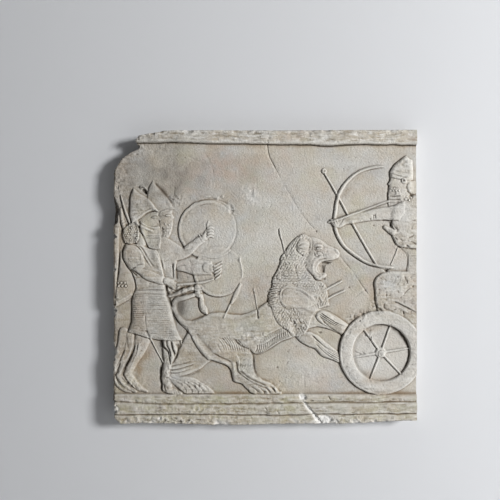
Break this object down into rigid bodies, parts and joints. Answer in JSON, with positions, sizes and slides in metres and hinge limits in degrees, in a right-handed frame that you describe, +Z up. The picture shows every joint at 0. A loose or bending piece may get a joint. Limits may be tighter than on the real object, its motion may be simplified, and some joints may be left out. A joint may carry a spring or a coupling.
{
  "type": "plaster wall relief",
  "caption": "Cast plaster relief panel of a lion hunt with attendants, a chariot and an archer, between a fillet above and a banded base below, to hang flat on a wall.",
  "frame": {"origin": "centre of the flat back, where the panel lies against the wall it hangs on", "axes": "+X along the frieze, the way its figures face; +Y out of the back, into the wall; +Z up"},
  "size_m": [0.518, 0.0329, 0.503],
  "materials": {
    "plaster": "matt, aged and patinated gypsum plaster"
  },
  "bodies": {
    "root": {"relief_panel": "plaster"}
  },
  "joints": []
}
